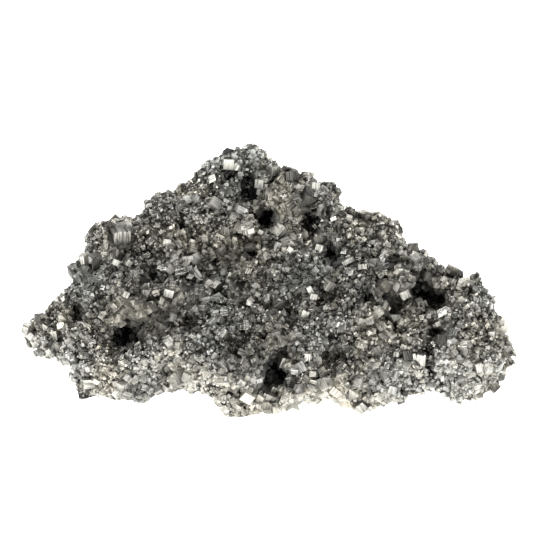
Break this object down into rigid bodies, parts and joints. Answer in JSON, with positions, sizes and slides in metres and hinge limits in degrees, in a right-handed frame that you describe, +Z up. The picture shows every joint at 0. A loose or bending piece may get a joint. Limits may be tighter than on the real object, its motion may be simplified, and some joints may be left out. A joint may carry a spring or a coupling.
{
  "type": "pyrite cluster",
  "caption": "Wedge-shaped drusy pyrite specimen with a sloping crystal-covered face, a low lobe to the left and dark pits.",
  "frame": {"origin": "middle of the bounding box in plan, on the surface that the specimen rests on", "axes": "+X to the right along the length, +Z up, and the low front rim towards -Y"},
  "size_m": [0.1204, 0.0756, 0.0483],
  "materials": {
    "pyrite": "pale brassy grey metal with bright crystal faces and dark hollows"
  },
  "bodies": {
    "root": {"pyrite_cluster": "pyrite"}
  },
  "joints": []
}
